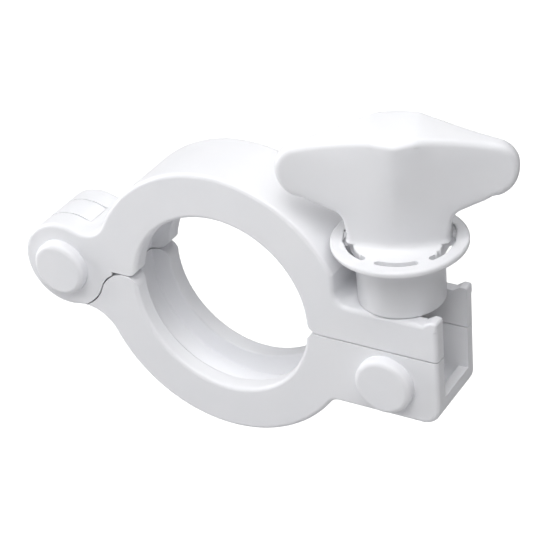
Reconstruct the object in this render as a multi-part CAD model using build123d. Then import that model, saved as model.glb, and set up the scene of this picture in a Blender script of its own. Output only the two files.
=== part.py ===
from build123d import *
"""Hinged sanitary clamp, moulded in plastic, for a pair of 50.5 mm tube ferrules.

Frame: the origin is the centre of the ring, +Y runs along the tube, +Z up along the
swing bolt, and +X points from the hinge to the bolt. All sizes are millimetres.
"""
import math
import os

# Ring: two half rings that wedge the ferrules together
ring_radius = 32.8
body_depth = 18.4
lip_radius = 21.9
lip_round = 1.0
lip_back_round = 0.3
groove_radius = 26.0
groove_mouth = 10.2
groove_flank_deg = 20.0
groove_floor_round = 0.9
edge_round = 1.0

# Hinge on the left
hinge_x = -41.95
hinge_z = 0.78
boss_radius = 10.7
knuckle_width = 6.4
knuckle_gap = 0.3
upper_web_round = 7.0
lower_web_round = 9.0
hinge_root_round = 7.5

# Faces on which the two jaws meet
hinge_split_z = 1.85
bolt_split_z = -1.4
split_gap = 0.3
hinge_lip_round = 2.9
bolt_lip_round = 3.3

# Forked arms on the right
bolt_x = 41.15
arm_top_z = 7.4
arm_bottom_z = -18.0
arm_end_x = 53.5
arm_corner_round = 4.2
arm_root_round = 3.0
fork_slot_width = 12.0
fork_wall = 0.9
stop_lip_height = 1.1
stop_lip_length = 1.6
stop_lip_ramp = 1.6
stop_lip_round = 0.6
bridge_length = 2.3
bridge_height = 6.1

# Pins with their caps
pin_radius = 3.0
pin_fit = 0.02
pin_running = 0.08
cap_radius = 6.7
cap_thickness = 2.7
cap_round = 1.3
cap_socket_depth = 1.5

# Swing bolt
trunnion_z = -9.36
eye_radius = 6.5
eye_side_gap = 0.3
eye_round = 0.7
bolt_radius = 4.0
bolt_end_z = 43.0
bolt_end_chamfer = 0.8

# Threaded insert in the nut
insert_radius = 6.6
insert_length = 13.0
insert_recess = 0.4
insert_clearance = 0.05
thread_clearance = 0.07
insert_groove_width = 1.6
insert_groove_depth = 0.6

# Wing nut
nut_seat_gap = 0.1
barrel_radius = 9.6
barrel_round = 0.5
flange_radius = 14.8
flange_thickness = 1.5
flange_round = 0.6
flange_top_z = 22.15
nut_relief = 2.2
slot_count = 6
slot_mid_radius = 11.35
slot_width = 1.5
slot_arc_deg = 39.5
wing_turn_deg = 22.5
wing_reach = 25.3
wing_tip_radius = 5.5
wing_tip_z = 39.3
wing_crown_z = 48.6
wing_crown_half = 4.5
wing_waist_half = 10.2
wing_waist_round = 3.5
wing_waist_z = 29.6
wing_hub_half_thickness = 7.3
wing_mid_half_thickness = 4.3
wing_tip_half_thickness = 2.5
wing_base_taper = 0.85
wing_edge_round = 1.5
wing_root_round = 2.2
bore_top_gap = 1.2

# Values that follow from the sizes above
half_depth = body_depth / 2
boss_clear_radius = boss_radius + knuckle_gap
knuckle_slot = knuckle_width + 2 * knuckle_gap
relief_x = bolt_x - barrel_radius - nut_relief
slot_start_x = bolt_x - eye_radius - eye_side_gap - fork_wall
stop_top_z = arm_top_z + stop_lip_height
flange_bottom_z = flange_top_z - flange_thickness
barrel_bottom_z = arm_top_z + nut_seat_gap
nut_bore_radius = bolt_radius + thread_clearance
nut_bore_top_z = bolt_end_z + bore_top_gap
insert_bottom_z = barrel_bottom_z + insert_recess
insert_top_z = insert_bottom_z + insert_length
FAR = 200.0


def upright_plate(sketch, depth):
    """Extrude a front-view sketch evenly to both sides of the middle plane."""
    return extrude(Plane.XZ * sketch, depth / 2, both=True)


def disc(x, z, radius):
    """A front-view circle."""
    return Pos(x, z) * Circle(radius)


def blend_between(x1, z1, r1, x2, z2, r2, round_radius, side):
    """The web that fills the notch between two discs with a tangent arc on one side."""
    apart = math.hypot(x2 - x1, z2 - z1)
    reach_1 = r1 + round_radius
    reach_2 = r2 + round_radius
    along = (reach_1**2 - reach_2**2 + apart**2) / (2 * apart)
    across = side * math.sqrt(reach_1**2 - along**2)
    ux = (x2 - x1) / apart
    uz = (z2 - z1) / apart
    cx = x1 + along * ux - across * uz
    cz = z1 + along * uz + across * ux
    web = make_face(Polyline((x1, z1), (x2, z2), (cx, cz), close=True))
    return web - disc(cx, cz, round_radius)


def round_bar_y(x, z, radius, y_from, y_to):
    """A round bar along the tube's direction."""
    return extrude(Plane.XZ.offset(-y_to) * disc(x, z, radius), y_to - y_from)


def clamp_outline():
    """Front view of both jaws together: ring, hinge boss and forked arms."""
    ring = Circle(ring_radius)
    boss = disc(hinge_x, hinge_z, boss_radius)
    upper_web = blend_between(
        0, 0, ring_radius, hinge_x, hinge_z, boss_radius, upper_web_round, -1
    )
    lower_web = blend_between(
        0, 0, ring_radius, hinge_x, hinge_z, boss_radius, lower_web_round, 1
    )
    arm_height = arm_top_z - arm_bottom_z
    arm_middle_z = (arm_top_z + arm_bottom_z) / 2
    arm = Pos(arm_end_x / 2, arm_middle_z) * Rectangle(arm_end_x, arm_height)
    relief = Pos(relief_x + ring_radius / 2, arm_top_z + ring_radius / 2) * Rectangle(
        ring_radius, ring_radius
    )
    outline = ring + boss + upper_web + lower_web + arm
    outline = outline - relief
    root = outline.vertices().sort_by_distance((relief_x, arm_top_z))[0]
    outline = fillet(root, arm_root_round)
    under_x = math.sqrt(ring_radius**2 - arm_bottom_z**2)
    under = outline.vertices().sort_by_distance((under_x, arm_bottom_z))[0]
    outline = fillet(under, arm_root_round)
    corner = outline.vertices().sort_by_distance((arm_end_x, arm_bottom_z))[0]
    return fillet(corner, arm_corner_round)


def half_plane(hinge_side_z, bolt_side_z, up):
    """Front view of everything on one side of the stepped split line."""
    left = Pos(-FAR / 2, hinge_side_z + up * FAR / 2) * Rectangle(FAR, FAR)
    right = Pos(FAR / 2, bolt_side_z + up * FAR / 2) * Rectangle(FAR, FAR)
    return left + right


def upper_side(grow):
    """Front view of all that belongs to the upper jaw, grown outwards by a gap."""
    split_z = hinge_split_z + split_gap / 2 - grow
    radius = boss_radius + grow
    side = half_plane(split_z, bolt_split_z + split_gap / 2 - grow, 1)
    side = side + disc(hinge_x, hinge_z, radius)
    root_x = hinge_x + math.sqrt(radius**2 - (split_z - hinge_z) ** 2)
    root = side.vertices().sort_by_distance((root_x, split_z))[0]
    return fillet(root, hinge_root_round - grow)


def groove_cutter():
    """The wedge groove and the bore through both lips, turned about the tube's axis."""
    mouth = groove_mouth / 2
    depth = groove_radius - lip_radius
    floor = mouth - depth * math.tan(math.radians(groove_flank_deg))
    outside = half_depth + lip_round
    near_start = half_depth - lip_round
    near_flare = lip_radius + lip_round
    far_start = half_depth - lip_back_round
    far_flare = lip_radius + lip_back_round
    outer_line = Polyline(
        (0, -outside),
        (near_flare, -outside),
        (near_flare, -half_depth),
    )
    near_round = CenterArc((near_flare, -near_start), lip_round, 270, -90)
    walls = FilletPolyline(
        (lip_radius, -near_start),
        (lip_radius, -mouth),
        (groove_radius, -floor),
        (groove_radius, floor),
        (lip_radius, mouth),
        (lip_radius, far_start),
        radius=groove_floor_round / 2,
    )
    far_round = CenterArc((far_flare, far_start), lip_back_round, 180, -90)
    closing = Polyline(
        (far_flare, half_depth),
        (far_flare, outside),
        (0, outside),
        (0, -outside),
    )
    profile = make_face([outer_line, near_round, walls, far_round, closing])
    return revolve(profile, Axis.Y, 360)


def make_stop_lip():
    """The raised lip across the arm's end that keeps the nut from sliding off."""
    foot_z = arm_top_z - stop_lip_height
    crest_x = arm_end_x - stop_lip_length
    side = Polyline(
        (arm_end_x, foot_z),
        (arm_end_x, stop_top_z),
        (crest_x, stop_top_z),
        (crest_x - stop_lip_ramp, arm_top_z),
        (crest_x - stop_lip_ramp, foot_z),
        close=True,
    )
    lip = upright_plate(make_face(side), body_depth)
    ends = lip.edges().filter_by(Axis.Y).group_by(Axis.Z)[-1]
    lip = fillet(ends, stop_lip_round)
    rims = lip.edges().filter_by(
        lambda edge: abs(abs(edge.center().Y) - half_depth) < 1e-3
        and edge.center().Z > arm_top_z - 1e-3
    )
    return fillet(rims, stop_lip_round)


def clamp_blank():
    """The solid outline of both jaws with its front and back edges rounded."""
    blank = upright_plate(clamp_outline(), body_depth)
    rims = blank.edges().filter_by(
        lambda edge: abs(abs(edge.center().Y) - half_depth) < 1e-3
        and edge.bounding_box().size.Y < 1e-3
    )
    blank = fillet(rims, edge_round)
    return blank + make_stop_lip() - groove_cutter()


def fork_slot(z_from, z_to):
    """The open slot between the two ears of an arm."""
    length = FAR
    middle_x = slot_start_x + length / 2
    middle_z = (z_from + z_to) / 2
    slot = Pos(middle_x, 0, middle_z) * Box(length, fork_slot_width, z_to - z_from)
    inner = slot.edges().filter_by(Axis.Z).group_by(Axis.X)[0]
    return fillet(inner, fork_wall)


def lip_end_cutter(hinge_side_z, bolt_side_z, up):
    """Round the corners where a jaw's lips end at the split faces."""
    reach = lip_radius + 2 * bolt_lip_round
    height = reach
    left = Pos(-reach / 2, hinge_side_z - up * height / 2) * Rectangle(reach, height)
    right = Pos(reach / 2, bolt_side_z - up * height / 2) * Rectangle(reach, height)
    opening = Circle(lip_radius) + left + right
    ends = ((-1, hinge_side_z, hinge_lip_round), (1, bolt_side_z, bolt_lip_round))
    for side, z, radius in ends:
        x = side * math.sqrt(lip_radius**2 - z**2)
        corner = opening.vertices().sort_by_distance((x, z))[0]
        opening = fillet(corner, radius)
    return upright_plate(opening, body_depth + 2)


def make_upper_jaw(blank):
    """Upper jaw: half ring, two hinge ears and a forked arm with stop lips."""
    hinge_side_z = hinge_split_z + split_gap / 2
    bolt_side_z = bolt_split_z + split_gap / 2
    jaw = blank & upright_plate(upper_side(0), body_depth + 2)
    knuckle_way = half_plane(hinge_side_z, bolt_side_z, -1)
    knuckle_way = knuckle_way + disc(hinge_x, hinge_z, boss_clear_radius)
    jaw -= upright_plate(knuckle_way, knuckle_slot)
    jaw -= round_bar_y(hinge_x, hinge_z, pin_radius + pin_fit, -FAR, FAR)
    jaw -= fork_slot(bolt_split_z - 1, stop_top_z + 1)
    return jaw - lip_end_cutter(hinge_side_z, bolt_side_z, 1)


def make_lower_jaw(blank):
    """Lower jaw: half ring, hinge knuckle and the fork that carries the bolt."""
    hinge_side_z = hinge_split_z - split_gap / 2
    bolt_side_z = bolt_split_z - split_gap / 2
    half = half_plane(hinge_side_z, bolt_side_z, -1)
    behind_hinge = Pos(hinge_x - FAR / 2, 0) * Rectangle(FAR, 2 * FAR)
    outer_side = half - upper_side(split_gap) - behind_hinge
    outer = blank & upright_plate(outer_side, body_depth + 2)
    knuckle_side = half + disc(hinge_x, hinge_z, boss_radius)
    middle = blank & upright_plate(knuckle_side, knuckle_width)
    jaw = outer + middle
    jaw -= round_bar_y(hinge_x, hinge_z, pin_radius + pin_running, -FAR, FAR)
    bridge_top_z = arm_bottom_z + bridge_height
    slot = fork_slot(arm_bottom_z - 1, bolt_split_z + 1)
    bridge = Pos(
        arm_end_x - bridge_length / 2, 0, (bridge_top_z + arm_bottom_z) / 2
    ) * Box(bridge_length, body_depth, bridge_height)
    jaw -= slot - bridge
    jaw -= lip_end_cutter(hinge_side_z, bolt_side_z, -1)
    return jaw - round_bar_y(bolt_x, trunnion_z, pin_radius + pin_fit, -FAR, FAR)


def make_pin(x, z):
    """A headed pin that enters from the front face."""
    shank = round_bar_y(x, z, pin_radius, -half_depth, half_depth + cap_socket_depth)
    tip = shank.edges().filter_by(GeomType.CIRCLE).sort_by(Axis.Y)[-1]
    shank = chamfer(tip, cap_socket_depth / 4)
    head = round_bar_y(x, z, cap_radius, -half_depth - cap_thickness, -half_depth)
    rim = head.edges().filter_by(GeomType.CIRCLE).sort_by(Axis.Y)[0]
    return fillet(rim, cap_round) + shank


def make_pin_cap(x, z):
    """The cap that holds the pin's far end on the back face."""
    cap = round_bar_y(x, z, cap_radius, half_depth, half_depth + cap_thickness)
    rim = cap.edges().filter_by(GeomType.CIRCLE).sort_by(Axis.Y)[-1]
    cap = fillet(rim, cap_round)
    socket = round_bar_y(
        x, z, pin_radius + pin_fit, half_depth - 1, half_depth + cap_socket_depth + pin_fit
    )
    return cap - socket


def make_swing_bolt():
    """Eye bolt that swings on the lower pin."""
    eye_width = fork_slot_width - 2 * eye_side_gap
    eye = round_bar_y(bolt_x, trunnion_z, eye_radius, -eye_width / 2, eye_width / 2)
    eye = fillet(eye.edges().filter_by(GeomType.CIRCLE), eye_round)
    length = bolt_end_z - trunnion_z
    shank = Pos(bolt_x, 0, trunnion_z + length / 2) * Cylinder(bolt_radius, length)
    end = shank.edges().filter_by(GeomType.CIRCLE).sort_by(Axis.Z)[-1]
    shank = chamfer(end, bolt_end_chamfer)
    bore = round_bar_y(bolt_x, trunnion_z, pin_radius + pin_running, -FAR, FAR)
    return eye + shank - bore


def make_nut_insert():
    """Threaded insert in the barrel of the wing nut, with a retaining groove."""
    middle_z = (insert_bottom_z + insert_top_z) / 2
    sleeve = Pos(bolt_x, 0, middle_z) * Cylinder(insert_radius, insert_length)
    groove = Cylinder(insert_radius + 1, insert_groove_width) - Cylinder(
        insert_radius - insert_groove_depth, insert_groove_width
    )
    sleeve -= Pos(bolt_x, 0, middle_z) * groove
    return sleeve - Pos(bolt_x, 0, middle_z) * Cylinder(
        nut_bore_radius, insert_length + 1
    )


def wing_front_outline():
    """Front view of both wings: waist, slanting underside, round tips and crown."""
    tip_x = wing_reach - wing_tip_radius
    tip_bottom = (tip_x, wing_tip_z - wing_tip_radius)
    crown_from_tip = math.atan2(wing_crown_z - wing_tip_z, tip_x - wing_crown_half)
    span = math.hypot(wing_crown_z - wing_tip_z, tip_x - wing_crown_half)
    lean = math.acos(wing_tip_radius / span)
    angle = math.pi - crown_from_tip - lean
    tip_top = (
        tip_x + wing_tip_radius * math.cos(angle),
        wing_tip_z + wing_tip_radius * math.sin(angle),
    )
    base_z = flange_top_z - flange_thickness / 2
    under = FilletPolyline(
        (wing_waist_half, base_z),
        (wing_waist_half + 1.4, wing_waist_z),
        tip_bottom,
        radius=wing_waist_round,
    )
    tip = ThreePointArc(tip_bottom, (wing_reach, wing_tip_z), tip_top)
    top = Polyline(tip_top, (wing_crown_half, wing_crown_z), (0, wing_crown_z))
    axis = Polyline((0, wing_crown_z), (0, base_z), (wing_waist_half, base_z))
    half = make_face([under, tip, top, axis])
    return half + mirror(half, Plane.YZ)


def wing_plan(z, taper):
    """Plan section of hub and wings at a height, thinner by the taper."""
    end_x = wing_reach + 2
    hub = wing_hub_half_thickness * taper
    middle = wing_mid_half_thickness * taper
    tip = wing_tip_half_thickness * taper
    points = [
        (-end_x, tip),
        (-wing_reach / 2, middle),
        (0, hub),
        (wing_reach / 2, middle),
        (end_x, tip),
    ]
    front = Spline(*points)
    back = mirror(front, Plane.XZ)
    right = Line((end_x, tip), (end_x, -tip))
    left = Line((-end_x, tip), (-end_x, -tip))
    return Pos(0, 0, z) * make_face([front, right, back, left])


def make_wings():
    """Hub and wings as one moulding, standing on the flange."""
    base_z = flange_top_z - flange_thickness / 2
    low = wing_plan(base_z, wing_base_taper)
    high = wing_plan(wing_crown_z + 1, 1.0)
    body = loft([low, high], ruled=True)
    wings = body & upright_plate(wing_front_outline(), FAR / 4)
    rims = wings.edges().filter_by(lambda edge: edge.center().Z > base_z + 0.5)
    rims = rims.filter_by(lambda edge: edge.bounding_box().size.Y < 12)
    return fillet(rims, wing_edge_round)


def add_wing_root(nut):
    """Flow the wings' foot into the flange with a large round."""
    foot = nut.edges().filter_by(
        lambda edge: abs(edge.center().Z - flange_top_z) < 1e-3
        and edge.bounding_box().size.Z < 1e-3
        and math.hypot(edge.center().X, edge.center().Y) < wing_waist_half + 1
    )
    foot = foot.filter_by(lambda edge: edge.bounding_box().size.X < 2 * flange_radius - 2)
    return fillet(foot, wing_root_round)


def make_wing_nut():
    """Wing nut: barrel, slotted flange, hub and two wings."""
    barrel_height = flange_top_z - barrel_bottom_z
    barrel = Pos(0, 0, barrel_bottom_z + barrel_height / 2) * Cylinder(
        barrel_radius, barrel_height
    )
    foot = barrel.edges().filter_by(GeomType.CIRCLE).sort_by(Axis.Z)[0]
    barrel = fillet(foot, barrel_round)
    flange = Pos(0, 0, flange_bottom_z + flange_thickness / 2) * Cylinder(
        flange_radius, flange_thickness
    )
    flange = fillet(flange.edges().filter_by(GeomType.CIRCLE), flange_round)
    nut = add_wing_root(barrel + flange + make_wings())
    slot = SlotArc(
        CenterArc((0, 0), slot_mid_radius, -slot_arc_deg / 2, slot_arc_deg), slot_width
    )
    for turn in PolarLocations(0, slot_count, 360 / slot_count / 2):
        nut -= turn * (
            Pos(0, 0, flange_bottom_z - 1) * extrude(slot, flange_thickness + 2)
        )
    cavity_top = insert_top_z + insert_clearance
    cavity_height = cavity_top - barrel_bottom_z + 1
    nut -= Pos(0, 0, cavity_top - cavity_height / 2) * Cylinder(
        insert_radius + insert_clearance, cavity_height
    )
    bore_height = nut_bore_top_z - barrel_bottom_z
    nut -= Pos(0, 0, barrel_bottom_z + bore_height / 2) * Cylinder(
        nut_bore_radius + thread_clearance, bore_height
    )
    return Pos(bolt_x, 0, 0) * Rot(0, 0, wing_turn_deg) * nut


def main():
    """Build every piece and write each to its own STEP file."""
    os.makedirs("parts", exist_ok=True)
    blank = clamp_blank()
    pieces = {
        "upper_jaw": make_upper_jaw(blank),
        "lower_jaw": make_lower_jaw(blank),
        "hinge_pin": make_pin(hinge_x, hinge_z),
        "hinge_pin_cap": make_pin_cap(hinge_x, hinge_z),
        "bolt_pin": make_pin(bolt_x, trunnion_z),
        "bolt_pin_cap": make_pin_cap(bolt_x, trunnion_z),
        "swing_bolt": make_swing_bolt(),
        "nut_insert": make_nut_insert(),
        "wing_nut": make_wing_nut(),
    }
    for name, piece in pieces.items():
        piece.label = name
        export_step(piece, f"parts/{name}.step")


main()
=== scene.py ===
import logging
import math
from collections.abc import Callable
from dataclasses import dataclass, field
from enum import Enum

import bpy
from mathutils import Matrix, Vector


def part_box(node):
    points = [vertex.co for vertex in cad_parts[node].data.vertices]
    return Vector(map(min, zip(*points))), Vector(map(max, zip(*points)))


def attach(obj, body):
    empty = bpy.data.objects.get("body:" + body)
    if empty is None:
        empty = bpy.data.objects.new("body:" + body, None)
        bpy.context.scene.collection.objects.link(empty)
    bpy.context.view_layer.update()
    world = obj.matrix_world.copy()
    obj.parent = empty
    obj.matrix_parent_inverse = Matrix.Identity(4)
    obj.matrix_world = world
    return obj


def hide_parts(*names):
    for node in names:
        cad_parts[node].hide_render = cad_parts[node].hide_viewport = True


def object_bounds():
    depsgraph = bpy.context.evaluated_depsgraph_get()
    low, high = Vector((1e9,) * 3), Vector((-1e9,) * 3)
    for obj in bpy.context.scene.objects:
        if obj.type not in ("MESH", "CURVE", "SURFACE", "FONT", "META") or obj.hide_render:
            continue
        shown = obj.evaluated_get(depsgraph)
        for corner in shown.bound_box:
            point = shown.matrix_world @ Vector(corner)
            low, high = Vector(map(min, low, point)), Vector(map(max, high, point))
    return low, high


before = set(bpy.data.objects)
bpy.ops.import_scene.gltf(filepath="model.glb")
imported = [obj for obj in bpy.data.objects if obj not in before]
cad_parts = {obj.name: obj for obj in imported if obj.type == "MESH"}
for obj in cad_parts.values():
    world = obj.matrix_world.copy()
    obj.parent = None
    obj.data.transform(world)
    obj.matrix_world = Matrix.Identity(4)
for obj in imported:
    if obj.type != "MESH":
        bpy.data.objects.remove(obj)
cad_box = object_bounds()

# Looks for a hinged sanitary clamp: white moulded jaws, a threaded swing bolt and a wing nut.

log = logging.getLogger("clamp")

MM = 0.001
SMOOTH_ANGLE = math.radians(32)
MERGE_DISTANCE = 1e-6
# How near an edge has to be to a plane to count as lying in it.
NEAR = MM / 10


class Body(str, Enum):
    """The rigid bodies that new pieces ride on."""

    BOLT = "bolt"
    NUT = "nut"


class Slot(str, Enum):
    """The record's material slots; no piece in this script is given one."""

    POLYMER = "white_polymer"


def linear(hex_colour: str) -> tuple[float, float, float, float]:
    """Turn an sRGB hex colour into linear RGBA.

    Args:
        hex_colour: six hex digits.

    Returns:
        The linear colour with alpha 1.
    """
    channels = [int(hex_colour[i : i + 2], 16) / 255 for i in (0, 2, 4)]
    curve = [c / 12.92 if c <= 0.04045 else ((c + 0.055) / 1.055) ** 2.4 for c in channels]
    return (curve[0], curve[1], curve[2], 1.0)


def add_node(
    tree: bpy.types.NodeTree,
    kind: str,
    settings: dict[str, object] | None = None,
    inputs: dict[str | int, object] | None = None,
    links: dict[str | int, bpy.types.NodeSocket] | None = None,
) -> bpy.types.Node:
    """Add one shader node with its settings, constants and links.

    Args:
        tree: the material's node tree.
        kind: the node's type name.
        settings: attributes to set on the node.
        inputs: constants by input name or place.
        links: source sockets by input name or place.

    Returns:
        The new node.
    """
    node = tree.nodes.new(kind)
    for name, value in (settings or {}).items():
        setattr(node, name, value)
    for name, value in (inputs or {}).items():
        node.inputs[name].default_value = value
    for name, socket in (links or {}).items():
        tree.links.new(socket, node.inputs[name])
    return node


def empty_material(name: str) -> bpy.types.Material:
    """Make a node material with no nodes in it.

    Args:
        name: the material's name.

    Returns:
        The material.
    """
    mat = bpy.data.materials.new(name)
    mat.use_nodes = True
    mat.node_tree.nodes.clear()
    return mat


def add_noise(
    tree: bpy.types.NodeTree, place: bpy.types.NodeSocket, size_mm: float, detail: float
) -> bpy.types.Node:
    """Add a noise texture whose size is given in millimetres.

    Args:
        tree: the material's node tree.
        place: the socket with the coordinates.
        size_mm: the size of the noise's patches.
        detail: how many finer layers it has.

    Returns:
        The texture node.
    """
    return add_node(
        tree,
        "ShaderNodeTexNoise",
        inputs={"Scale": 1 / (size_mm * MM), "Detail": detail},
        links={"Vector": place},
    )


def add_tint(
    tree: bpy.types.NodeTree, first: str, second: str, share: bpy.types.NodeSocket
) -> bpy.types.NodeSocket:
    """Mix two colours.

    Args:
        tree: the material's node tree.
        first: the colour where the share is 0, as six hex digits.
        second: the colour where the share is 1.
        share: the socket with the share of the second colour.

    Returns:
        The socket with the mixed colour.
    """
    tint = add_node(
        tree,
        "ShaderNodeMix",
        settings={"data_type": "RGBA"},
        inputs={6: linear(first), 7: linear(second)},
        links={"Factor": share},
    )
    return tint.outputs[2]


def put_out(tree: bpy.types.NodeTree, surface: bpy.types.NodeSocket) -> None:
    """Lead a shader to the material's output.

    Args:
        tree: the material's node tree.
        surface: the shader's socket.
    """
    add_node(tree, "ShaderNodeOutputMaterial", links={"Surface": surface})


def dress(piece: bpy.types.Object, material: bpy.types.Material) -> None:
    """Give a piece one material and nothing else.

    Args:
        piece: the object to dress.
        material: its finish.
    """
    piece.data.materials.clear()
    piece.data.materials.append(material)


def deselect_all() -> None:
    """Leave every object unselected."""
    bpy.ops.object.select_all(action="DESELECT")


def make_active(piece: bpy.types.Object) -> None:
    """Select one object alone and make it the active one.

    Args:
        piece: the object.
    """
    deselect_all()
    piece.select_set(True)
    bpy.context.view_layer.objects.active = piece


def new_solid(name: str) -> bpy.types.Object:
    """Name the primitive just added and put its place into its mesh.

    Args:
        name: the object's name.

    Returns:
        The object.
    """
    piece = bpy.context.active_object
    piece.name = name
    bpy.ops.object.transform_apply(location=True, rotation=True, scale=True)
    return piece


def apply_boolean(piece: bpy.types.Object, other: bpy.types.Object, operation: str) -> None:
    """Join a piece with another one or cut it by that one, which is then removed.

    Args:
        piece: the object that is kept.
        other: the object that is used up.
        operation: UNION or DIFFERENCE.
    """
    make_active(piece)
    modifier = piece.modifiers.new("join", "BOOLEAN")
    modifier.operation = operation
    modifier.object = other
    modifier.solver = "EXACT"
    bpy.ops.object.modifier_apply(modifier=modifier.name)
    bpy.data.objects.remove(other, do_unlink=True)


def bevel_edges_where(
    piece: bpy.types.Object,
    wanted: Callable[[Vector, Vector], bool],
    width_mm: float,
    segments: int,
) -> None:
    """Round the edges whose middle point passes a test.

    Args:
        piece: the object to round.
        wanted: a test on an edge's middle point and direction, both vectors.
        width_mm: the round's width.
        segments: how many faces the round has across.
    """
    make_active(piece)
    bpy.ops.object.mode_set(mode="EDIT")
    bpy.ops.mesh.select_mode(type="EDGE")
    bpy.ops.mesh.select_all(action="DESELECT")
    bpy.ops.object.mode_set(mode="OBJECT")
    points = piece.data.vertices
    for edge in piece.data.edges:
        start, end = (points[i].co for i in edge.vertices)
        edge.select = bool(wanted((start + end) / 2, end - start))
    bpy.ops.object.mode_set(mode="EDIT")
    bpy.ops.mesh.bevel(offset=width_mm * MM, segments=segments, affect="EDGES")
    bpy.ops.object.mode_set(mode="OBJECT")


def draw_profile(name: str, points: list[tuple[float, float]]) -> bpy.types.Object:
    """Draw an open line in the XZ plane by extruding one vertex from point to point.

    Args:
        name: the object's name.
        points: X and Z of each point, in metres.

    Returns:
        The object, in edit mode.
    """
    deselect_all()
    (start_x, start_z), *rest = points
    bpy.ops.mesh.primitive_plane_add(size=MM, location=(start_x, 0, start_z))
    piece = new_solid(name)
    bpy.ops.object.mode_set(mode="EDIT")
    bpy.ops.mesh.select_all(action="SELECT")
    bpy.ops.mesh.merge(type="CENTER")
    x, z = start_x, start_z
    for next_x, next_z in rest:
        bpy.ops.mesh.extrude_region_move(
            TRANSFORM_OT_translate={"value": (next_x - x, 0, next_z - z)}
        )
        x, z = next_x, next_z
    return piece


def tidy_solid(piece: bpy.types.Object) -> None:
    """Merge doubles, turn faces outwards and shade the curved ones smooth.

    Args:
        piece: the finished object.
    """
    make_active(piece)
    bpy.ops.object.mode_set(mode="EDIT")
    bpy.ops.mesh.select_all(action="SELECT")
    bpy.ops.mesh.remove_doubles(threshold=MERGE_DISTANCE)
    bpy.ops.mesh.normals_make_consistent(inside=False)
    bpy.ops.object.mode_set(mode="OBJECT")
    bpy.ops.object.shade_smooth_by_angle(angle=SMOOTH_ANGLE)


@dataclass(frozen=True)
class MouldedPolypropylene:
    """White polypropylene moulded in a fine-blasted tool: satin, faintly cloudy, soft edges."""

    name: str = "moulded_polypropylene"
    colour: str = "F0F0F2"
    cloud_colour: str = "E9EAEE"
    roughness: float = 0.40
    roughness_spread: float = 0.05
    ior: float = 1.49
    cloud_size_mm: float = 16.0
    cloud_detail: float = 3.0
    # The blasted grain is 0.1 mm on the tool and drawn coarser, so that it shows.
    grain_size_mm: float = 0.5
    grain_detail: float = 2.0
    grain_height_mm: float = 0.010
    # Slow waves in the surface, as thick mouldings have where they shrink.
    sink_size_mm: float = 11.0
    sink_detail: float = 1.0
    sink_height_mm: float = 0.12
    edge_radius_mm: float = 0.22
    edge_samples: int = 6

    def material(self) -> bpy.types.Material:
        """Build the material.

        Returns:
            The node material.
        """
        mat = empty_material(self.name)
        tree = mat.node_tree
        place = add_node(tree, "ShaderNodeTexCoord").outputs["Object"]
        cloud = add_noise(tree, place, self.cloud_size_mm, self.cloud_detail)
        grain = add_noise(tree, place, self.grain_size_mm, self.grain_detail)
        sink = add_noise(tree, place, self.sink_size_mm, self.sink_detail)
        tint = add_tint(tree, self.colour, self.cloud_colour, cloud.outputs["Fac"])
        soft_edge = add_node(
            tree,
            "ShaderNodeBevel",
            settings={"samples": self.edge_samples},
            inputs={"Radius": self.edge_radius_mm * MM},
        )
        waves = add_node(
            tree,
            "ShaderNodeBump",
            inputs={"Strength": 1.0, "Distance": self.sink_height_mm * MM},
            links={"Height": sink.outputs["Fac"], "Normal": soft_edge.outputs["Normal"]},
        )
        bump = add_node(
            tree,
            "ShaderNodeBump",
            inputs={"Strength": 1.0, "Distance": self.grain_height_mm * MM},
            links={"Height": grain.outputs["Fac"], "Normal": waves.outputs["Normal"]},
        )
        satin = add_node(
            tree,
            "ShaderNodeMapRange",
            inputs={
                "To Min": self.roughness - self.roughness_spread,
                "To Max": self.roughness + self.roughness_spread,
            },
            links={"Value": cloud.outputs["Fac"]},
        )
        shader = add_node(
            tree,
            "ShaderNodeBsdfPrincipled",
            inputs={"IOR": self.ior},
            links={
                "Base Color": tint,
                "Roughness": satin.outputs["Result"],
                "Normal": bump.outputs["Normal"],
            },
        )
        put_out(tree, shader.outputs["BSDF"])
        return mat


@dataclass(frozen=True)
class TurnedBrass:
    """Brass turned on a lathe: yellow metal with fine rings left by the tool."""

    name: str = "turned_brass"
    colour: str = "D8B56A"
    dull_colour: str = "B98F4A"
    roughness: float = 0.28
    # Tool marks are 0.1 mm apart and drawn wider, so that they show.
    ring_pitch_mm: float = 0.4
    ring_height_mm: float = 0.015
    patch_size_mm: float = 5.0
    patch_detail: float = 4.0
    # At scale 1 the band texture repeats every 2 pi / 20.
    band_period: float = 2 * math.pi / 20

    def material(self) -> bpy.types.Material:
        """Build the material.

        Returns:
            The node material.
        """
        mat = empty_material(self.name)
        tree = mat.node_tree
        place = add_node(tree, "ShaderNodeTexCoord").outputs["Object"]
        rings = add_node(
            tree,
            "ShaderNodeTexWave",
            settings={"wave_type": "BANDS", "bands_direction": "Z"},
            inputs={"Scale": self.band_period / (self.ring_pitch_mm * MM)},
            links={"Vector": place},
        )
        patch = add_noise(tree, place, self.patch_size_mm, self.patch_detail)
        tint = add_tint(tree, self.colour, self.dull_colour, patch.outputs["Fac"])
        bump = add_node(
            tree,
            "ShaderNodeBump",
            inputs={"Distance": self.ring_height_mm * MM},
            links={"Height": rings.outputs["Fac"]},
        )
        shader = add_node(
            tree,
            "ShaderNodeBsdfPrincipled",
            inputs={"Metallic": 1.0, "Roughness": self.roughness},
            links={"Base Color": tint, "Normal": bump.outputs["Normal"]},
        )
        put_out(tree, shader.outputs["BSDF"])
        return mat


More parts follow.
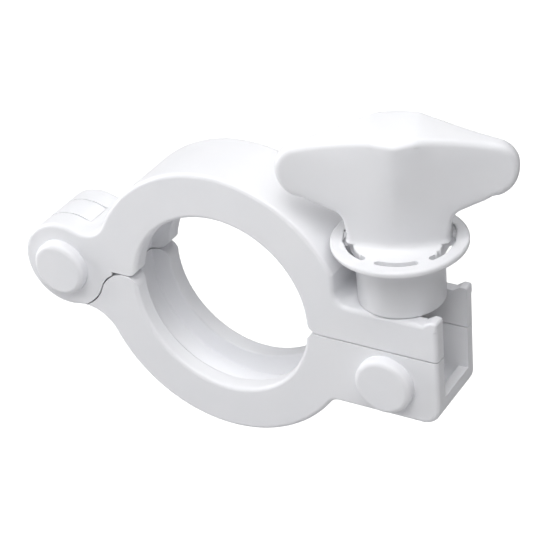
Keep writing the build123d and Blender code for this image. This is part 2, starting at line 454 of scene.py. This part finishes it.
@dataclass(frozen=True)
class SeamlessPaper:
    """White studio paper, matt, burnt out to pure white where the camera sees it."""

    name: str = "seamless_paper"
    colour: str = "CDCDCE"
    glow_colour: str = "FFFFFF"
    glow: float = 1.3

    def material(self) -> bpy.types.Material:
        """Build the material.

        Returns:
            The node material.
        """
        mat = empty_material(self.name)
        tree = mat.node_tree
        paper = add_node(
            tree, "ShaderNodeBsdfDiffuse", inputs={"Color": linear(self.colour)}
        )
        burnt = add_node(
            tree,
            "ShaderNodeEmission",
            inputs={"Color": linear(self.glow_colour), "Strength": self.glow},
        )
        path = add_node(tree, "ShaderNodeLightPath")
        mix = add_node(
            tree,
            "ShaderNodeMixShader",
            links={
                0: path.outputs["Is Camera Ray"],
                1: paper.outputs["BSDF"],
                2: burnt.outputs["Emission"],
            },
        )
        put_out(tree, mix.outputs["Shader"])
        return mat


@dataclass
class Jaws:
    """The two jaws and the capped pins: one white moulding each, kept as the frame has them."""

    finish: bpy.types.Material
    nodes: tuple[str, ...] = (
        "lower_jaw",
        "upper_jaw",
        "hinge_pin",
        "hinge_pin_cap",
        "bolt_pin",
        "bolt_pin_cap",
    )

    def build(self) -> None:
        """Dress each moulding."""
        for name in self.nodes:
            dress(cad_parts[name], self.finish)
            log.info("%s dressed", name)


@dataclass
class SwingBolt:
    """Eye bolt for the wing nut: the eye with its neck, and the thread as its own piece."""

    finish: bpy.types.Material
    shank_radius_mm: float = 4.0
    thread_pitch_mm: float = 3.0
    thread_depth_mm: float = 0.85
    root_flat_mm: float = 0.8
    crest_flat_mm: float = 1.0
    thread_start_mm: float = 1.0
    # The sweep starts this many turns below the thread, and its run-in is cut off.
    run_in_turns: int = 2
    neck_radius_mm: float = 3.94
    collar_foot_radius_mm: float = 6.5
    collar_top_radius_mm: float = 3.92
    collar_rise_mm: float = 1.6
    hole_radius_mm: float = 3.08
    hole_sides: int = 64
    eye_sides: int = 96
    eye_round_mm: float = 0.7
    eye_round_segments: int = 4
    steps_per_turn: int = 72
    low: Vector = field(init=False)
    high: Vector = field(init=False)

    def __post_init__(self) -> None:
        """Read the bolt's place from the frame."""
        low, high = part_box("swing_bolt")
        self.low, self.high = Vector(low), Vector(high)

    @property
    def axis_x(self) -> float:
        """The bolt's axis along X, in metres."""
        return (self.low.x + self.high.x) / 2

    @property
    def eye_radius(self) -> float:
        """The eye's radius, in metres."""
        return (self.high.x - self.low.x) / 2

    @property
    def eye_z(self) -> float:
        """The height of the eye's centre, in metres."""
        return self.low.z + self.eye_radius

    def make_thread(self) -> bpy.types.Object:
        """Sweep the thread's profile up the bolt and cut both ends flat.

        Returns:
            The threaded rod.
        """
        depth = self.thread_depth_mm * MM
        flank = (self.thread_pitch_mm - self.root_flat_mm - self.crest_flat_mm) / 2 * MM
        root_radius = self.shank_radius_mm * MM - depth
        bottom = (self.thread_start_mm - self.run_in_turns * self.thread_pitch_mm) * MM
        flat_end = bottom + self.root_flat_mm * MM
        crest_end = flat_end + flank + self.crest_flat_mm * MM
        rod = draw_profile(
            "bolt_thread",
            [
                (root_radius, bottom),
                (root_radius, flat_end),
                (root_radius + depth, flat_end + flank),
                (root_radius + depth, crest_end),
                (root_radius, crest_end + flank),
            ],
        )
        bpy.ops.object.mode_set(mode="OBJECT")
        length = self.high.z - bottom
        sweep = rod.modifiers.new("sweep", "SCREW")
        sweep.axis = "Z"
        sweep.screw_offset = self.thread_pitch_mm * MM
        sweep.iterations = math.ceil(length / (self.thread_pitch_mm * MM)) + 1
        sweep.steps = self.steps_per_turn
        sweep.render_steps = self.steps_per_turn
        sweep.use_merge_vertices = True
        sweep.merge_threshold = MERGE_DISTANCE
        make_active(rod)
        bpy.ops.object.modifier_apply(modifier=sweep.name)
        bpy.ops.object.mode_set(mode="EDIT")
        bpy.ops.mesh.select_all(action="SELECT")
        bpy.ops.mesh.remove_doubles(threshold=MERGE_DISTANCE)
        for height, way in ((self.high.z, 1), (self.thread_start_mm * MM, -1)):
            bpy.ops.mesh.select_all(action="SELECT")
            bpy.ops.mesh.bisect(
                plane_co=(0, 0, height),
                plane_no=(0, 0, way),
                use_fill=True,
                clear_outer=True,
                threshold=MERGE_DISTANCE / 10,
            )
        bpy.ops.mesh.select_all(action="SELECT")
        bpy.ops.mesh.normals_make_consistent(inside=False)
        bpy.ops.object.mode_set(mode="OBJECT")
        rod.location = (self.axis_x, 0, 0)
        bpy.ops.object.transform_apply(location=True, rotation=True, scale=True)
        return rod

    def make_neck(self) -> bpy.types.Object:
        """Make the plain neck with its collar where it grows out of the eye.

        Returns:
            The neck.
        """
        top = (self.thread_start_mm + self.thread_pitch_mm / 2) * MM
        height = top - self.eye_z
        deselect_all()
        bpy.ops.mesh.primitive_cylinder_add(
            vertices=self.steps_per_turn,
            radius=self.neck_radius_mm * MM,
            depth=height,
            location=(self.axis_x, 0, self.eye_z + height / 2),
        )
        neck = new_solid("bolt_neck")
        collar_top = self.eye_z + self.eye_radius + self.collar_rise_mm * MM
        collar_height = collar_top - self.eye_z
        deselect_all()
        bpy.ops.mesh.primitive_cone_add(
            vertices=self.steps_per_turn,
            radius1=self.collar_foot_radius_mm * MM,
            radius2=self.collar_top_radius_mm * MM,
            depth=collar_height,
            location=(self.axis_x, 0, self.eye_z + collar_height / 2),
        )
        collar = new_solid("bolt_collar")
        apply_boolean(neck, collar, "UNION")
        return neck

    def make_eye(self) -> bpy.types.Object:
        """Make the rounded barrel that turns on the pin.

        Returns:
            The eye, still without its hole.
        """
        width = self.high.y - self.low.y
        deselect_all()
        bpy.ops.mesh.primitive_cylinder_add(
            vertices=self.eye_sides,
            radius=self.eye_radius,
            depth=width,
            location=(self.axis_x, 0, self.eye_z),
            rotation=(math.pi / 2, 0, 0),
        )
        eye = new_solid("swing_bolt_threaded")
        bevel_edges_where(
            eye,
            lambda middle, way: abs(middle.y) > width / 2 - NEAR and abs(way.y) < NEAR,
            self.eye_round_mm,
            self.eye_round_segments,
        )
        return eye

    def make_hole(self) -> bpy.types.Object:
        """Make the bar that cuts the pin's hole.

        Returns:
            The bar.
        """
        deselect_all()
        bpy.ops.mesh.primitive_cylinder_add(
            vertices=self.hole_sides,
            radius=self.hole_radius_mm * MM,
            depth=3 * (self.high.y - self.low.y),
            location=(self.axis_x, 0, self.eye_z),
            rotation=(math.pi / 2, 0, 0),
        )
        return new_solid("bolt_hole")

    def build(self) -> None:
        """Build the thread, and the eye in place of the plain bolt."""
        thread = self.make_thread()
        tidy_solid(thread)
        dress(thread, self.finish)
        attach(thread, Body.BOLT.value)
        log.info("%s built with %d faces", thread.name, len(thread.data.polygons))
        bolt = self.make_eye()
        apply_boolean(bolt, self.make_neck(), "UNION")
        apply_boolean(bolt, self.make_hole(), "DIFFERENCE")
        tidy_solid(bolt)
        dress(bolt, self.finish)
        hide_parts("swing_bolt")
        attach(bolt, Body.BOLT.value)
        log.info("%s built with %d faces", bolt.name, len(bolt.data.polygons))


@dataclass
class WingNut:
    """Wing nut with a ridged hub and a brass threaded insert in its barrel."""

    polymer: bpy.types.Material
    brass: bpy.types.Material
    wing_turn_deg: float = 22.5
    bore_radius_mm: float = 4.4
    bore_top_mm: float = 45.0
    ridge_half_width_mm: float = 9.5
    ridge_swell: float = 0.17
    ridge_foot_mm: float = 24.0
    ridge_full_mm: float = 40.0
    crown_dip_mm: float = 0.6
    crown_start_mm: float = 45.5
    crown_rise_mm: float = 4.55
    # The lobes are the wings' outer parts, whose lower half hangs down a little.
    lobe_middle_mm: float = 39.3
    lobe_fade_mm: float = 5.1
    lobe_start_mm: float = 11.0
    lobe_full_mm: float = 18.0
    lobe_drop_mm: float = 1.2

    def swollen(self, point: Vector, axis: Vector, along: Vector, across: Vector) -> Vector:
        """Move a point of the hub outwards to a soft ridge, and of a lobe's lower half down.

        Args:
            point: the point, in metres.
            axis: a point on the nut's axis.
            along: the direction of the wings.
            across: the direction of the hub's thickness.

        Returns:
            The moved point.
        """
        offset = point - axis
        u, v, z = offset.dot(along) / MM, offset.dot(across) / MM, point.z / MM
        in_bore = math.hypot(u, v) < self.bore_radius_mm and z < self.bore_top_mm
        if in_bore or z < self.ridge_foot_mm:
            return point
        near = max(0.0, 1 - abs(u) / self.ridge_half_width_mm)
        ridge = near * near * (2 - near)
        rise = min(1.0, (z - self.ridge_foot_mm) / (self.ridge_full_mm - self.ridge_foot_mm))
        crown = max(0.0, z - self.crown_start_mm) / self.crown_rise_mm
        aside = across * (v * self.ridge_swell * ridge * rise * MM)
        outer = (abs(u) - self.lobe_start_mm) / (self.lobe_full_mm - self.lobe_start_mm)
        under = (self.lobe_middle_mm - z) / self.lobe_fade_mm
        lobe = min(1.0, max(0.0, outer)) * min(1.0, max(0.0, under))
        drop = self.crown_dip_mm * ridge * min(1.0, crown) + self.lobe_drop_mm * lobe
        return point + aside - Vector((0, 0, drop * MM))

    def make_ridged_nut(self) -> bpy.types.Object:
        """Copy the nut's moulding and reshape its hub and lobes.

        Returns:
            The new nut.
        """
        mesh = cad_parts["wing_nut"].data.copy()
        nut = bpy.data.objects.new("wing_nut_ridged", mesh)
        bpy.context.scene.collection.objects.link(nut)
        make_active(nut)
        bpy.ops.object.mode_set(mode="EDIT")
        bpy.ops.mesh.select_all(action="SELECT")
        bpy.ops.mesh.remove_doubles(threshold=MERGE_DISTANCE)
        bpy.ops.object.mode_set(mode="OBJECT")
        low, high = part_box("nut_insert")
        axis = Vector(((low[0] + high[0]) / 2, (low[1] + high[1]) / 2, 0))
        turn = math.radians(self.wing_turn_deg)
        along = Vector((math.cos(turn), math.sin(turn), 0))
        across = Vector((-math.sin(turn), math.cos(turn), 0))
        for vertex in nut.data.vertices:
            vertex.co = self.swollen(vertex.co.copy(), axis, along, across)
        make_active(nut)
        bpy.ops.object.shade_smooth_by_angle(angle=SMOOTH_ANGLE)
        return nut

    def build(self) -> None:
        """Build the nut and dress its insert."""
        nut = self.make_ridged_nut()
        dress(nut, self.polymer)
        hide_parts("wing_nut")
        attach(nut, Body.NUT.value)
        dress(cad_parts["nut_insert"], self.brass)
        log.info("%s built with %d faces", nut.name, len(nut.data.polygons))


@dataclass
class Camera:
    """The viewpoint: above the front, turned towards the bolt's side."""

    azimuth_deg: float = 31.78
    elevation_deg: float = 31.70
    roll_deg: float = -4.92
    distance_mm: float = 438.7
    aside_mm: float = 7.97
    above_mm: float = 2.32
    lens_mm: float = 127.02
    sensor_mm: float = 36.0
    nearest_mm: float = 10.0

    def build(self) -> None:
        """Create the camera and make it the scene's own."""
        a, e, roll = (
            math.radians(v) for v in (self.azimuth_deg, self.elevation_deg, self.roll_deg)
        )
        back = Vector(
            (math.sin(a) * math.cos(e), -math.cos(a) * math.cos(e), math.sin(e))
        )
        level = Vector((math.cos(a), math.sin(a), 0))
        rise = back.cross(level)
        right = math.cos(roll) * level + math.sin(roll) * rise
        up = -math.sin(roll) * level + math.cos(roll) * rise
        data = bpy.data.cameras.new("camera")
        data.lens = self.lens_mm
        data.sensor_width = self.sensor_mm
        data.clip_start = self.nearest_mm * MM
        camera = bpy.data.objects.new("camera", data)
        bpy.context.scene.collection.objects.link(camera)
        spot = (self.distance_mm * back + self.aside_mm * right + self.above_mm * up) * MM
        turn = Matrix((right, up, back)).transposed().to_4x4()
        camera.matrix_world = Matrix.Translation(spot) @ turn
        bpy.context.scene.camera = camera


@dataclass(frozen=True)
class SoftBox:
    """A square area light that faces the origin."""

    name: str
    place: tuple[float, float, float]
    size: float
    watts: float

    def hang(self) -> None:
        """Create the light."""
        data = bpy.data.lights.new(self.name, "AREA")
        data.size = self.size
        data.energy = self.watts
        lamp = bpy.data.objects.new(self.name, data)
        bpy.context.scene.collection.objects.link(lamp)
        lamp.location = self.place
        lamp.rotation_euler = Vector(self.place).to_track_quat("Z", "Y").to_euler()


@dataclass
class Studio:
    """White paper floor, a weak dome, and soft boxes above, behind and at the left."""

    floor_size: float = 6.0
    floor_drop_mm: float = 1.0
    dome_colour: str = "FFFFFF"
    dome_rim: float = 0.02
    dome_top: float = 0.04
    boxes: tuple[SoftBox, ...] = (
        SoftBox("front_top_box", (0.00, -0.25, 0.43), 0.35, 1.4),
        SoftBox("right_top_box", (0.18, -0.18, 0.43), 0.35, 1.03),
        SoftBox("back_top_box", (0.02, 0.26, 0.42), 0.35, 0.85),
        SoftBox("left_low_box", (-0.48, -0.09, 0.09), 0.35, 1.85),
    )

    def lay_floor(self) -> None:
        """Lay the floor just under the object."""
        deselect_all()
        low = cad_box[0][2] - self.floor_drop_mm * MM
        bpy.ops.mesh.primitive_plane_add(size=self.floor_size, location=(0, 0, low))
        floor = bpy.context.active_object
        floor.name = "studio_floor"
        dress(floor, SeamlessPaper().material())

    def raise_dome(self) -> None:
        """Light the surroundings, brighter towards the top."""
        world = bpy.data.worlds.new("soft_dome")
        world.use_nodes = True
        tree = world.node_tree
        background = tree.nodes["Background"]
        direction = add_node(tree, "ShaderNodeTexCoord").outputs["Generated"]
        height = add_node(tree, "ShaderNodeSeparateXYZ", links={"Vector": direction})
        strength = add_node(
            tree,
            "ShaderNodeMapRange",
            inputs={"To Min": self.dome_rim, "To Max": self.dome_top},
            links={"Value": height.outputs["Z"]},
        )
        background.inputs["Color"].default_value = linear(self.dome_colour)
        tree.links.new(strength.outputs["Result"], background.inputs["Strength"])
        bpy.context.scene.world = world

    def build(self) -> None:
        """Set up the whole studio."""
        self.lay_floor()
        self.raise_dome()
        for box in self.boxes:
            box.hang()
        bpy.context.scene.view_settings.view_transform = "Standard"


def main() -> None:
    """Build the camera, the clamp and the studio in order."""
    logging.basicConfig(level=logging.INFO, format="%(name)s: %(message)s")
    polymer = MouldedPolypropylene().material()
    brass = TurnedBrass().material()
    Camera().build()
    Jaws(polymer).build()
    SwingBolt(polymer).build()
    WingNut(polymer, brass).build()
    Studio().build()


if __name__ == "__main__":
    main()
